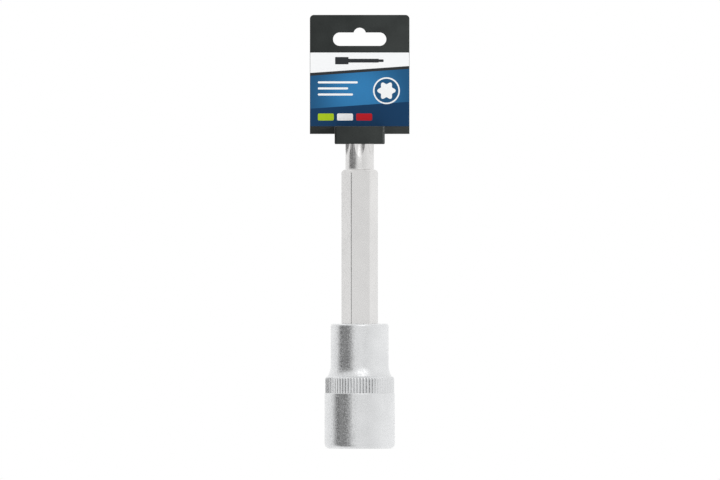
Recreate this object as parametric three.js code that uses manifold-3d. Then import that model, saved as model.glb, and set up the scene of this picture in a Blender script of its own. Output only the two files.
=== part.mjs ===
// A T50 six-lobe bit pressed into a half-inch drive socket, held by its tip in a plastic shop hanger.
// Millimetres, +Z up. The origin is the centre of the drive end, and the bit points up along +Z.
import * as THREE from "three";
import { mergeVertices, toCreasedNormals } from "three/addons/utils/BufferGeometryUtils.js";
import Module from "manifold-3d";

const wasm = await Module();
wasm.setup();

// Whole tool
const toolLength = 100;

// Drive socket, turned outside: each step inwards is measured from the one below it
const socketLength = 38.8;
const driveEndDiameter = 22;
const driveEdgeChamfer = 0.85;
const knurlStep = 0.2;
const knurlBase = 17.1;
const knurlHeight = 5.2;
const knurlShoulderRadius = 1.7;
const knurlShoulderDrop = 0.8;
const knurlRidges = 68;
const knurlDepth = 0.32;
const knurlGrooveWidth = 0.66;
const flareReach = 0.95;
const flareHeight = 3.8;
const neckEdgeChamfer = 1;

// Half-inch female drive square
const driveSquare = 12.85;
const driveCornerRadius = 0.9;
const driveDepth = 16.8;
const driveLeadIn = 1.4;
const detentHeight = 8;
const detentDepth = 0.8;
const detentWidth = 4;

// Hexagon seat of the bit in the socket, above a web with a hole for the broach chips
const webThickness = 4;
const webHoleDiameter = 6.5;
const hexSeatCornerRadius = 0.25;
const hexSeatLeadIn = 0.4;
const hexFitGap = 0.08;
const bitEndGap = 0.3;

// Bit: hexagon bar with a turned and fluted tip
const hexAcrossFlats = 10;
const hexTurn = 3;
const hexCornerRadius = 0.55;
const hexFootChamfer = 0.6;
const shoulderRadius = 2.2;
const shoulderStep = 0.08;
const tipNeckLength = 4;
const torxLobes = 6;
const torxPointDiameter = 8.95;
const torxFluteDepth = 1.25;
const torxLobeRadius = 0.74;
const fluteLength = 2.4;
const fluteRunOut = 6.3;
const tipChamfer = 0.45;

// Tip holder: a block that grips the tip and is pegged to the plate
const holderWidth = 15.7;
const holderFrontWall = 1.5;
const holderRearWall = 1.25;
const holderCornerRadius = 0.8;
const tipInHolder = 4.8;
const gripClearance = 0.25;
const mouthChamfer = 0.5;
const stopLip = 0.6;
const stopLipInset = 1.1;
const seatGap = 0.1;
const gripRibs = 3;
const gripRibWidth = 1.2;
const gripRibGap = 0.3;
const pegDiameter = 1.8;
const pegRoot = 1;
const pegHeadRim = 0.6;
const pegHeadHeight = 0.7;
const pegClearance = 0.12;

// Hanger plate, with a tongue behind the holder
const plateWidth = 31.2;
const plateHeight = 37.3;
const plateThickness = 1.8;
const plateCornerRadius = 1.25;
const plateEdgeBevel = 0.25;
const holderOverPlate = 2.3;
const tongueSideInset = 1.35;
const tongueFootInset = 0.3;
const pegFromTongueSide = 2.3;
const slotWidth = 16.7;
const slotHeight = 4.2;
const slotFromTop = 5.5;
const slotNotchRadius = 1.95;
const slotNotchRise = 1.5;

// Printed card on the plate, between the holder and the slot
const cardThickness = 0.3;
const cardSideMargin = 0.1;
const cardCornerRadius = 0.2;
const cardAboveHolder = 0.1;
const cardBelowSlot = 2.1;
const glueLine = 0.05;

// Fineness of the round forms
const arcSteps = 3;
const boreSegments = 48;
const pegSegments = 24;
const sectorSteps = 14;
const runOutSteps = 6;
const overshoot = 1;

// Places on the tool that follow from the sizes above, measured from the drive end and the axis
const driveEndRadius = driveEndDiameter / 2;
const knurlRadius = driveEndRadius - knurlStep;
const knurlTop = knurlBase + knurlHeight;
const flareFootRadius = knurlRadius - knurlShoulderDrop;
const neckRadius = flareFootRadius - flareReach;
const knurlShoulderAngle = Math.acos(1 - knurlShoulderDrop / knurlShoulderRadius);
const knurlShoulderRise = knurlShoulderRadius * Math.sin(knurlShoulderAngle);
const hexSeatFloor = driveDepth + webThickness;
const bitFoot = hexSeatFloor + bitEndGap;
const hexTurnAngle = THREE.MathUtils.degToRad(hexTurn);
const torxPointRadius = torxPointDiameter / 2;
const torxRootRadius = torxPointRadius - torxFluteDepth;
const fluteStart = toolLength - fluteLength;
const shoulderHeight = fluteStart - fluteRunOut - tipNeckLength;

// Places on the hanger, with heights measured from the end of the tip
const gripRadius = torxPointRadius + gripClearance;
const holderFoot = -tipInHolder;
const holderTop = seatGap + stopLip;
const holderFront = -(gripRadius + holderFrontWall);
const holderRear = gripRadius + holderRearWall;
const plateFront = holderRear + glueLine;
const plateRear = plateFront + plateThickness;
const plateFoot = holderTop - holderOverPlate;
const plateTop = plateFoot + plateHeight;
const tongueFoot = holderFoot + tongueFootInset;
const tongueHalfWidth = holderWidth / 2 - tongueSideInset;
const pegReach = tongueHalfWidth - pegFromTongueSide;
const pegHeight = (holderFoot + holderTop) / 2;
const slotTop = plateTop - slotFromTop;
const slotFoot = slotTop - slotHeight;

// Materials
const satinChrome = new THREE.MeshStandardMaterial({ color: 0xd9dadb, metalness: 1, roughness: 0.34 });
const blastedSteel = new THREE.MeshStandardMaterial({ color: 0xd3d3d1, metalness: 1, roughness: 0.45 });
const charcoalPlastic = new THREE.MeshStandardMaterial({ color: 0x343837, metalness: 0, roughness: 0.55 });
const printedBoard = new THREE.MeshStandardMaterial({ color: 0x2a6496, metalness: 0, roughness: 0.35 });

// A closed geometry as a solid for joining and cutting.
function toSolid(geometry) {
  const bare = new THREE.BufferGeometry();
  bare.setAttribute("position", geometry.getAttribute("position"));
  bare.setIndex(geometry.index);
  const merged = mergeVertices(bare);
  const triVerts = [];
  for (let i = 0; i < merged.index.count; i += 3) {
    const [a, b, c] = merged.index.array.slice(i, i + 3);
    if (a !== b && b !== c && c !== a) triVerts.push(a, b, c);
  }
  const mesh = new wasm.Mesh({
    numProp: 3,
    vertProperties: merged.getAttribute("position").array,
    triVerts: new Uint32Array(triVerts),
  });
  return new wasm.Manifold(mesh);
}

// A finished solid as a named mesh.
function toMesh(name, solid, material) {
  const made = solid.getMesh();
  const geometry = new THREE.BufferGeometry();
  geometry.setAttribute("position", new THREE.BufferAttribute(made.vertProperties, 3));
  geometry.setIndex(new THREE.BufferAttribute(made.triVerts, 1));
  const mesh = new THREE.Mesh(toCreasedNormals(geometry, Math.PI / 6), material);
  mesh.name = name;
  return mesh;
}

// A solid turned about Z from a profile of (radius, height) points, running upwards from the axis.
function turned(profile, segments) {
  const geometry = new THREE.LatheGeometry(profile.getPoints(arcSteps), segments);
  return toSolid(geometry.rotateX(Math.PI / 2));
}

// A prism on an outline in the XY plane, from one height to another.
function prism(outline, from, to) {
  const options = { depth: to - from, bevelEnabled: false, curveSegments: arcSteps };
  return toSolid(new THREE.ExtrudeGeometry(outline, options).translate(0, 0, from));
}

// A round bar about Z.
function roundBar(radius, from, to, segments = boreSegments) {
  const geometry = new THREE.CylinderGeometry(radius, radius, to - from, segments);
  return toSolid(geometry.rotateX(Math.PI / 2).translate(0, 0, (from + to) / 2));
}

// A cone about Z, from one radius and height to another.
function cone(lowRadius, lowHeight, highRadius, highHeight) {
  const geometry = new THREE.CylinderGeometry(highRadius, lowRadius, highHeight - lowHeight, boreSegments);
  return toSolid(geometry.rotateX(Math.PI / 2).translate(0, 0, (lowHeight + highHeight) / 2));
}

// A regular polygon with round corners, its first corner at the angle turn.
function roundedPolygon(sides, acrossFlats, cornerRadius, turn) {
  const halfCorner = Math.PI / sides;
  const reach = (acrossFlats / 2 - cornerRadius) / Math.cos(halfCorner);
  const outline = new THREE.Shape();
  for (let corner = 0; corner < sides; corner++) {
    const angle = turn + 2 * halfCorner * corner;
    const x = reach * Math.cos(angle);
    const y = reach * Math.sin(angle);
    outline.absarc(x, y, cornerRadius, angle - halfCorner, angle + halfCorner, false);
  }
  return outline;
}

// A closed body through rings of points that run anticlockwise, from the lowest ring to the highest.
function loft(rings) {
  const around = rings[0].length;
  const points = rings.flat();
  const triangles = [];
  for (let ring = 0; ring + 1 < rings.length; ring++) {
    for (let i = 0; i < around; i++) {
      const low = ring * around + i;
      const lowNext = ring * around + ((i + 1) % around);
      triangles.push(low, lowNext, lowNext + around, low, lowNext + around, low + around);
    }
  }
  const topStart = (rings.length - 1) * around;
  const footCentre = points.push(new THREE.Vector3(0, 0, rings[0][0].z)) - 1;
  const topCentre = points.push(new THREE.Vector3(0, 0, rings.at(-1)[0].z)) - 1;
  for (let i = 0; i < around; i++) {
    const next = (i + 1) % around;
    triangles.push(footCentre, next, i, topCentre, topStart + i, topStart + next);
  }
  return toSolid(new THREE.BufferGeometry().setFromPoints(points).setIndex(triangles));
}

// Drive socket: the turned outside, from the drive end up over the knurl band and the flare to the neck.
function socketOutside() {
  const flareRadius = (flareReach ** 2 + flareHeight ** 2) / (2 * flareReach);
  const flareAngle = Math.asin(flareHeight / flareRadius);
  const profile = new THREE.Path().moveTo(0, 0);
  profile.lineTo(driveEndRadius - driveEdgeChamfer, 0);
  profile.lineTo(driveEndRadius, driveEdgeChamfer);
  profile.lineTo(driveEndRadius, knurlBase);
  profile.lineTo(knurlRadius, knurlBase);
  const shoulderCentre = knurlRadius - knurlShoulderRadius;
  const shoulderFoot = knurlTop - knurlShoulderRise;
  profile.absarc(shoulderCentre, shoulderFoot, knurlShoulderRadius, 0, knurlShoulderAngle, false);
  const flareCentre = neckRadius + flareRadius;
  const neckFoot = knurlTop + flareHeight;
  profile.absarc(flareCentre, neckFoot, flareRadius, Math.PI + flareAngle, Math.PI, true);
  profile.lineTo(neckRadius, socketLength - neckEdgeChamfer);
  profile.lineTo(neckRadius - neckEdgeChamfer, socketLength);
  profile.lineTo(0, socketLength);
  return turned(profile, knurlRidges);
}

// One V groove of the straight knurl, on the +X side: upright on the band, then leaning in over its shoulder.
function knurlGroove() {
  const outline = new THREE.Shape();
  outline.moveTo(-knurlDepth, 0);
  outline.lineTo(knurlDepth, -knurlGrooveWidth);
  outline.lineTo(knurlDepth, knurlGrooveWidth);
  const shoulderFoot = knurlTop - knurlShoulderRise;
  const upright = prism(outline, knurlBase - shoulderFoot, 0);
  const lean = Math.atan(knurlShoulderDrop / knurlShoulderRise);
  const leaning = prism(outline, 0, knurlShoulderRise / Math.cos(lean));
  const leanDegrees = THREE.MathUtils.radToDeg(lean);
  return upright.add(leaning.rotate([0, -leanDegrees, 0])).translate([knurlRadius, 0, shoulderFoot]);
}

// The groove that the ratchet's ball drops into, turned inside the drive square.
function detentGroove() {
  const reach = driveSquare / 2 + detentDepth;
  const inner = driveSquare / 2 - detentDepth;
  const groove = new THREE.Path().moveTo(0, detentHeight - detentWidth / 2 - detentDepth);
  groove.lineTo(inner, detentHeight - detentWidth / 2 - detentDepth);
  groove.lineTo(reach, detentHeight - detentWidth / 2 + detentDepth);
  groove.lineTo(reach, detentHeight + detentWidth / 2 - detentDepth);
  groove.lineTo(inner, detentHeight + detentWidth / 2 + detentDepth);
  groove.lineTo(0, detentHeight + detentWidth / 2 + detentDepth);
  return turned(groove, boreSegments);
}

function makeDriveSocket() {
  const hexSeatFlats = hexAcrossFlats + 2 * hexFitGap;
  const hexMouth = hexSeatFlats / 2 + hexSeatLeadIn;
  const driveMouth = driveSquare / 2 + driveLeadIn;
  const hexSeat = roundedPolygon(6, hexSeatFlats, hexSeatCornerRadius, hexTurnAngle);
  const square = roundedPolygon(4, driveSquare, driveCornerRadius, Math.PI / 4);
  const cuts = [
    prism(square, -overshoot, driveDepth),
    cone(driveMouth + overshoot, -overshoot, 0, driveMouth),
    detentGroove(),
    roundBar(webHoleDiameter / 2, driveDepth - overshoot, hexSeatFloor + overshoot),
    prism(hexSeat, hexSeatFloor, socketLength + overshoot),
    cone(0, socketLength - hexMouth, hexMouth + overshoot, socketLength + overshoot),
  ];
  for (let ridge = 0; ridge < knurlRidges; ridge++) {
    cuts.push(knurlGroove().rotate([0, 0, (360 * ridge) / knurlRidges]));
  }
  const solid = socketOutside().subtract(wasm.Manifold.union(cuts));
  return toMesh("drive_socket", solid, satinChrome);
}

// Six-lobe outline as a radius at an angle: round lobes and round flutes that meet tangentially.
function torxRadius(angle) {
  const halfSector = Math.PI / torxLobes;
  const lobeReach = torxPointRadius - torxLobeRadius;
  const across = lobeReach * Math.cos(halfSector);
  const fluteRadius =
    (torxLobeRadius ** 2 - lobeReach ** 2 - torxRootRadius ** 2 + 2 * across * torxRootRadius) /
    (2 * (torxRootRadius - across - torxLobeRadius));
  const fluteReach = torxRootRadius + fluteRadius;
  const lobeCentre = new THREE.Vector2(lobeReach, 0);
  const fluteCentre = new THREE.Vector2(fluteReach, 0).rotateAround(new THREE.Vector2(), halfSector);
  const meeting = lobeCentre.clone().lerp(fluteCentre, torxLobeRadius / (torxLobeRadius + fluteRadius));
  const fromLobe = Math.abs(THREE.MathUtils.euclideanModulo(angle + halfSector, 2 * halfSector) - halfSector);
  if (fromLobe <= meeting.angle()) {
    const side = lobeReach * Math.sin(fromLobe);
    return lobeReach * Math.cos(fromLobe) + Math.sqrt(torxLobeRadius ** 2 - side ** 2);
  }
  const fromFlute = halfSector - fromLobe;
  const side = fluteReach * Math.sin(fromFlute);
  return fluteReach * Math.cos(fromFlute) - Math.sqrt(fluteRadius ** 2 - side ** 2);
}

// One ring of the tip: the six-lobe outline lifted out of the round bar by lift and kept inside limit.
function tipRing(height, lift, limit) {
  const around = torxLobes * sectorSteps;
  const ring = [];
  for (let i = 0; i < around; i++) {
    const angle = (2 * Math.PI * i) / around;
    const radius = Math.min(torxRadius(angle) + lift, limit);
    ring.push(new THREE.Vector3(radius * Math.cos(angle), radius * Math.sin(angle), height));
  }
  return ring;
}

// Fluted tip: a round neck, flutes that run out of it on an arc, and a chamfered end.
function torxTip() {
  const runOutRadius = (fluteRunOut ** 2 + torxFluteDepth ** 2) / (2 * torxFluteDepth);
  const rings = [tipRing(shoulderHeight - overshoot, torxFluteDepth, torxPointRadius)];
  for (let step = runOutSteps; step >= 0; step--) {
    const along = (fluteRunOut * step) / runOutSteps;
    const lift = runOutRadius - Math.sqrt(runOutRadius ** 2 - along ** 2);
    rings.push(tipRing(fluteStart - along, lift, torxPointRadius));
  }
  rings.push(tipRing(toolLength - tipChamfer, 0, torxPointRadius));
  rings.push(tipRing(toolLength, 0, torxPointRadius - tipChamfer));
  return loft(rings);
}

// Hexagon bar with a chamfered foot, and a rounded shoulder below the tip.
function hexBar() {
  const corner = hexAcrossFlats / Math.sqrt(3);
  const shoulderTopRadius = torxPointRadius + shoulderStep;
  const envelope = new THREE.Path().moveTo(0, bitFoot);
  envelope.lineTo(corner - hexFootChamfer, bitFoot);
  envelope.lineTo(corner, bitFoot + hexFootChamfer);
  const shoulderAngle = Math.acos(1 - (corner - shoulderTopRadius) / shoulderRadius);
  const shoulderFoot = shoulderHeight - shoulderRadius * Math.sin(shoulderAngle);
  envelope.absarc(corner - shoulderRadius, shoulderFoot, shoulderRadius, 0, shoulderAngle, false);
  envelope.lineTo(0, shoulderHeight);
  const section = roundedPolygon(6, hexAcrossFlats, hexCornerRadius, hexTurnAngle);
  const bar = prism(section, bitFoot, shoulderHeight);
  return bar.intersect(turned(envelope, boreSegments));
}

function makeTorxBit() {
  return toMesh("torx_bit", hexBar().add(torxTip()), blastedSteel);
}

// The hanger's pieces stand in a group at the tip's end face, so heights below are measured from there.

// Hook slot: round ends, and a round notch above its middle that centres it on a hook.
function hookSlot() {
  const endRadius = slotHeight / 2;
  const middle = slotTop - endRadius;
  const endReach = slotWidth / 2 - endRadius;
  const notchCentre = slotTop + slotNotchRise - slotNotchRadius;
  const notchAngle = Math.asin((slotTop - notchCentre) / slotNotchRadius);
  const slot = new THREE.Path();
  slot.absarc(endReach, middle, endRadius, -Math.PI / 2, Math.PI / 2, false);
  slot.absarc(0, notchCentre, slotNotchRadius, notchAngle, Math.PI - notchAngle, false);
  slot.absarc(-endReach, middle, endRadius, Math.PI / 2, (3 * Math.PI) / 2, false);
  slot.closePath();
  return slot;
}

// A hole in the plate's tongue for one of the holder's pegs.
function pegHole(side) {
  const hole = new THREE.Path();
  hole.absarc(side * pegReach, pegHeight, pegDiameter / 2 + pegClearance, 0, 2 * Math.PI, false);
  return hole;
}

function makeHangerPlate() {
  const halfWidth = plateWidth / 2;
  const cornerX = halfWidth - plateCornerRadius;
  const cornerZ = plateTop - plateCornerRadius;
  const outline = new THREE.Shape();
  outline.moveTo(-halfWidth, plateFoot);
  outline.lineTo(-tongueHalfWidth, plateFoot);
  outline.lineTo(-tongueHalfWidth, tongueFoot);
  outline.lineTo(tongueHalfWidth, tongueFoot);
  outline.lineTo(tongueHalfWidth, plateFoot);
  outline.lineTo(halfWidth, plateFoot);
  outline.absarc(cornerX, cornerZ, plateCornerRadius, 0, Math.PI / 2, false);
  outline.absarc(-cornerX, cornerZ, plateCornerRadius, Math.PI / 2, Math.PI, false);
  outline.holes.push(hookSlot(), pegHole(-1), pegHole(1));
  const geometry = new THREE.ExtrudeGeometry(outline, {
    depth: plateThickness - 2 * plateEdgeBevel,
    bevelSize: plateEdgeBevel,
    bevelOffset: -plateEdgeBevel,
    bevelThickness: plateEdgeBevel,
    bevelSegments: 1,
    curveSegments: 2 * arcSteps,
  });
  const mesh = toMesh("hanger_plate", toSolid(geometry), charcoalPlastic);
  mesh.rotation.x = Math.PI / 2;
  mesh.position.y = plateRear - plateEdgeBevel;
  return mesh;
}

function makePrintedCard() {
  const halfWidth = plateWidth / 2 - cardSideMargin - cardCornerRadius;
  const foot = holderTop + cardAboveHolder + cardCornerRadius;
  const top = slotFoot - cardBelowSlot - cardCornerRadius;
  const outline = new THREE.Shape();
  outline.absarc(halfWidth, foot, cardCornerRadius, -Math.PI / 2, 0, false);
  outline.absarc(halfWidth, top, cardCornerRadius, 0, Math.PI / 2, false);
  outline.absarc(-halfWidth, top, cardCornerRadius, Math.PI / 2, Math.PI, false);
  outline.absarc(-halfWidth, foot, cardCornerRadius, Math.PI, (3 * Math.PI) / 2, false);
  const mesh = toMesh("printed_card", prism(outline, 0, cardThickness), printedBoard);
  mesh.rotation.x = Math.PI / 2;
  mesh.position.y = plateFront - glueLine;
  return mesh;
}

// Outline of the holder block seen from above, with its front corners rounded.
function holderOutline() {
  const halfWidth = holderWidth / 2;
  const cornerX = halfWidth - holderCornerRadius;
  const cornerY = holderFront + holderCornerRadius;
  const outline = new THREE.Shape();
  outline.moveTo(halfWidth, holderRear);
  outline.lineTo(-halfWidth, holderRear);
  outline.absarc(-cornerX, cornerY, holderCornerRadius, Math.PI, (3 * Math.PI) / 2, false);
  outline.absarc(cornerX, cornerY, holderCornerRadius, (3 * Math.PI) / 2, 2 * Math.PI, false);
  return outline;
}

// Grip rib on the bore wall, its round nose standing in one flute of the tip.
function gripRib(angle) {
  const noseRadius = gripRibWidth / 2;
  const noseReach = torxRootRadius + gripRibGap + noseRadius;
  const outline = new THREE.Shape();
  outline.absarc(noseReach, 0, noseRadius, Math.PI / 2, (3 * Math.PI) / 2, false);
  outline.lineTo(gripRadius + noseRadius, -noseRadius);
  outline.lineTo(gripRadius + noseRadius, noseRadius);
  return prism(outline, holderFoot + mouthChamfer, holderTop).rotate([0, 0, angle]);
}

// Peg that passes through the plate's tongue and ends in a flat head behind it.
function plateHoldingPeg(side) {
  const headFoot = plateRear + glueLine;
  const headTop = headFoot + pegHeadHeight;
  const shank = roundBar(pegDiameter / 2, holderRear - pegRoot, headTop, pegSegments);
  const head = roundBar(pegDiameter / 2 + pegHeadRim, headFoot, headTop, pegSegments);
  return shank.add(head).rotate([-90, 0, 0]).translate([side * pegReach, 0, pegHeight]);
}

function makeTipHolder() {
  const mouthRadius = gripRadius + mouthChamfer;
  const bore = wasm.Manifold.union([
    roundBar(gripRadius, holderFoot - overshoot, seatGap),
    roundBar(gripRadius - stopLipInset, holderFoot, holderTop + overshoot),
    cone(mouthRadius + overshoot, holderFoot - overshoot, 0, holderFoot + mouthRadius),
  ]);
  const block = prism(holderOutline(), holderFoot, holderTop).subtract(bore);
  const fluteTurn = 180 / torxLobes;
  const additions = [plateHoldingPeg(-1), plateHoldingPeg(1)];
  for (let rib = 0; rib < gripRibs; rib++) {
    additions.push(gripRib(fluteTurn + (360 * rib) / gripRibs));
  }
  return toMesh("tip_holder", block.add(wasm.Manifold.union(additions)), charcoalPlastic);
}

const tool = new THREE.Group();
tool.add(makeDriveSocket(), makeTorxBit());

const hanger = new THREE.Group();
hanger.position.z = toolLength;
hanger.add(makeHangerPlate(), makePrintedCard(), makeTipHolder());

const torxBitSocketOnHanger = new THREE.Group();
torxBitSocketOnHanger.add(tool, hanger);

export default torxBitSocketOnHanger;
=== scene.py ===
import math

import bmesh
import bpy
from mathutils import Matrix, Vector


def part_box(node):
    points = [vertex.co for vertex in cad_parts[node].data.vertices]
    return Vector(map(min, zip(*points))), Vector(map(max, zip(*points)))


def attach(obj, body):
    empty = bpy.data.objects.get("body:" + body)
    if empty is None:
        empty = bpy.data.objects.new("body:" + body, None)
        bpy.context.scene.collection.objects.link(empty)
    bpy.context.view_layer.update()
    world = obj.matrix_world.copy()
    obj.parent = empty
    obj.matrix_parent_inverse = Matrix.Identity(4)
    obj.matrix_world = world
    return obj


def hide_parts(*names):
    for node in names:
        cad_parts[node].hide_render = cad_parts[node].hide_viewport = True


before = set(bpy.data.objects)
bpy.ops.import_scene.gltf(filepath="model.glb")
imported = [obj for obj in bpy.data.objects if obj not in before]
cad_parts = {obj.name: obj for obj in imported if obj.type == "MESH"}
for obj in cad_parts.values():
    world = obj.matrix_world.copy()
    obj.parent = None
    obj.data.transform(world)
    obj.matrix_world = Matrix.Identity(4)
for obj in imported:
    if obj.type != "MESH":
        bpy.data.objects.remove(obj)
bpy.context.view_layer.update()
scene = bpy.context.scene
mm = 0.001
touch = 0.001 * mm  # places closer than this are the same
sliver = 0.002 * mm  # left flat between two full rounds, so that no face shrinks to nothing
smoothBelow = math.radians(30)  # edges flatter than this are shaded smooth
roundAbove = math.radians(40)  # edges sharper than this are rounded
print("frame loaded:", sorted(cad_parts))


# picking and small edits, shared by all the pieces

def clearSelection():
    if bpy.context.mode != "OBJECT":
        bpy.ops.object.mode_set(mode="OBJECT")
    bpy.ops.object.select_all(action="DESELECT")


def makeActive(piece):
    clearSelection()
    piece.select_set(True)
    bpy.context.view_layer.objects.active = piece


def takeName(name):
    piece = bpy.context.object
    piece.name = name
    piece.data.name = name
    bpy.ops.object.transform_apply(location=True, rotation=True, scale=True)
    return piece


def startEdit(piece):
    makeActive(piece)
    bpy.ops.object.mode_set(mode="EDIT")


def pick(piece, kind, test):
    bpy.ops.mesh.select_mode(type=kind)
    bpy.ops.mesh.select_all(action="DESELECT")
    shape = bmesh.from_edit_mesh(piece.data)
    items = {"VERT": shape.verts, "EDGE": shape.edges, "FACE": shape.faces}[kind]
    for item in items:
        if test(item):
            item.select_set(True)
    shape.select_flush_mode()
    bmesh.update_edit_mesh(piece.data)


def runsAlong(axis):
    others = [i for i in range(3) if i != axis]
    return lambda edge: all(abs(edge.verts[0].co[i] - edge.verts[1].co[i]) < touch for i in others)


runsAlongY = runsAlong(1)
runsAlongZ = runsAlong(2)


def middleOf(edge):
    return (edge.verts[0].co + edge.verts[1].co) / 2


def addBlock(name, low, high):
    clearSelection()
    low, high = Vector(low), Vector(high)
    bpy.ops.mesh.primitive_cube_add(size=1, location=(low + high) / 2, scale=high - low)
    return takeName(name)


def addBar(name, radius, low, high, sides, turn=0):
    clearSelection()
    bpy.ops.mesh.primitive_cylinder_add(vertices=sides, radius=radius, depth=high - low,
                                        location=(0, 0, (low + high) / 2), rotation=(0, 0, turn))
    return takeName(name)


def addCone(name, lowRadius, low, highRadius, high, sides):
    clearSelection()
    bpy.ops.mesh.primitive_cone_add(vertices=sides, radius1=lowRadius, radius2=highRadius, depth=high - low,
                                    location=(0, 0, (low + high) / 2))
    return takeName(name)


def arcSteps(centre, radius, start, end, steps):  # (radius, height) points on a round stretch of a profile
    across, up = centre
    angles = [math.radians(start + (end - start) * i / steps) for i in range(steps + 1)]
    return [(across + radius * math.cos(angle), up + radius * math.sin(angle)) for angle in angles]


def easeCorner(before, corner, after, reach, steps=4):  # a profile's corner, eased over reach on both sides
    before, corner, after = Vector(before), Vector(corner), Vector(after)
    start = corner.lerp(before, min(1, reach / (before - corner).length))
    end = corner.lerp(after, min(1, reach / (after - corner).length))
    shares = [i / steps for i in range(steps + 1)]
    return [tuple(start.lerp(corner, share).lerp(corner.lerp(end, share), share)) for share in shares]


def growRings(profile):  # the selected end face is drawn along the profile, ring by ring
    radius, height = profile[0]
    for nextRadius, nextHeight in profile[1:]:
        bpy.ops.mesh.extrude_region_move(TRANSFORM_OT_translate={"value": (0, 0, nextHeight - height)})
        grow = nextRadius / radius
        bpy.ops.transform.resize(value=(grow, grow, 1), center_override=(0, 0, nextHeight))
        radius, height = nextRadius, nextHeight


def turnForm(name, profile, columns):  # a form turned about Z, from its lower end face upwards
    clearSelection()
    radius, height = profile[0]
    bpy.ops.mesh.primitive_circle_add(vertices=columns, radius=radius, fill_type="NGON",
                                      location=(0, 0, height))
    form = takeName(name)
    startEdit(form)
    bpy.ops.mesh.select_mode(type="FACE")
    bpy.ops.mesh.select_all(action="SELECT")
    growRings(profile)
    bpy.ops.mesh.select_all(action="SELECT")
    bpy.ops.mesh.normals_make_consistent(inside=False)
    clearSelection()
    return form


def combine(piece, tool, how):
    makeActive(piece)
    bpy.ops.object.modifier_add(type="BOOLEAN")
    step = piece.modifiers[-1]
    step.operation = how
    step.object = tool
    step.solver = "MANIFOLD"
    bpy.ops.object.modifier_apply(modifier=step.name)
    bpy.data.objects.remove(tool)


def roundPicked(piece, test, width, rings):  # rounds the edges that pass the test
    startEdit(piece)
    pick(piece, "EDGE", test)
    bpy.ops.mesh.bevel(offset=width, segments=rings, profile=0.5, affect="EDGES")
    clearSelection()


def roundUprights(piece, radius, sides, rings):  # rounds the upright edges of a prism
    roundPicked(piece, runsAlongZ, radius * math.tan(math.pi / sides), rings)


def roundEdges(piece, width, rings):  # rounds all the sharp edges
    makeActive(piece)
    bpy.ops.object.modifier_add(type="BEVEL")
    step = piece.modifiers[-1]
    step.width = width
    step.segments = rings
    step.limit_method = "ANGLE"
    step.angle_limit = roundAbove
    step.use_clamp_overlap = True
    bpy.ops.object.modifier_apply(modifier=step.name)


def finishPiece(piece, body, node, material):
    makeActive(piece)
    bpy.ops.object.shade_smooth_by_angle(angle=smoothBelow)
    piece.data.materials.clear()
    piece.data.materials.append(material)
    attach(piece, body)
    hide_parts(node)
    print("made", piece.name, "with", len(piece.data.polygons), "faces")


def evenShading(piece):  # flat faces keep their own normals beside the rounded edges
    makeActive(piece)
    bpy.ops.object.modifier_add(type="WEIGHTED_NORMAL")
    step = piece.modifiers[-1]
    step.keep_sharp = True
    bpy.ops.object.modifier_apply(modifier=step.name)


# node trees

def setInput(tree, target, value):  # a value is set on the socket, and an output is linked to it
    if isinstance(value, bpy.types.NodeSocket):
        tree.links.new(value, target)
    else:
        target.default_value = value


def addNode(tree, kind, **inputs):
    node = tree.nodes.new(kind)
    for name, value in inputs.items():
        setInput(tree, node.inputs[name.replace("_", " ")], value)
    return node


def operate(tree, kind, operation, values):
    node = tree.nodes.new(kind)
    node.operation = operation
    for target, value in zip(node.inputs, values):
        setInput(tree, target, value)
    return node.outputs


def calc(tree, operation, *values):
    return operate(tree, "ShaderNodeMath", operation, values)[0]


def measure(tree, operation, *vectors):  # a length, a distance or a dot product
    return operate(tree, "ShaderNodeVectorMath", operation, vectors)["Value"]


def mixColours(tree, mask, under, over):
    node = tree.nodes.new("ShaderNodeMix")
    node.data_type = "RGBA"
    for name, value in (("Factor_Float", mask), ("A_Color", under), ("B_Color", over)):
        target = next(entry for entry in node.inputs if entry.identifier == name)
        setInput(tree, target, value)
    return next(entry for entry in node.outputs if entry.identifier == "Result_Color")


def remap(tree, value, fromLow, fromHigh, toLow=0.0, toHigh=1.0, kind="LINEAR"):
    node = tree.nodes.new("ShaderNodeMapRange")
    node.interpolation_type = kind
    for target, given in zip(node.inputs, (value, fromLow, fromHigh, toLow, toHigh)):
        setInput(tree, target, given)
    return node.outputs[0]


def fadeIn(tree, value, start, end):  # a soft step from 0 to 1
    return remap(tree, value, start, end, kind="SMOOTHSTEP")


def startGroup(name, inputs, outputs):
    group = bpy.data.node_groups.new(name, "ShaderNodeTree")
    for entryName, kind, value in inputs:
        entry = group.interface.new_socket(entryName, in_out="INPUT", socket_type="NodeSocket" + kind)
        if value is not None:
            entry.default_value = value
    for entryName, kind in outputs:
        group.interface.new_socket(entryName, in_out="OUTPUT", socket_type="NodeSocket" + kind)
    return group, group.nodes.new("NodeGroupInput").outputs, group.nodes.new("NodeGroupOutput").inputs


def placeGroup(tree, group, **inputs):
    node = tree.nodes.new("ShaderNodeGroup")
    node.node_tree = group
    for name, value in inputs.items():
        setInput(tree, node.inputs[name.replace("_", " ")], value)
    return node.outputs


def objectPoint(tree):
    return tree.nodes.new("ShaderNodeTexCoord").outputs["Object"]


def srgb(red, green, blue):
    def straight(level):
        level = level / 255
        return level / 12.92 if level <= 0.04045 else ((level + 0.055) / 1.055) ** 2.4
    return (straight(red), straight(green), straight(blue), 1)


def grey(level):
    return (level, level, level, 1)


def newMaterial(name):
    material = bpy.data.materials.new(name)
    material.use_nodes = True
    tree = material.node_tree
    return material, tree, tree.nodes["Principled BSDF"].inputs


# finishes: slow changes of tone, and a fine grain in roughness and relief
noise = {
    "grainDetail": 1.5,
    "grainSpread": (0.35, 0.65),    # from pit to peak
    "mottleDetail": 4.0,
    "mottleSpread": (0.3, 0.7),     # from dark to light
}


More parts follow.
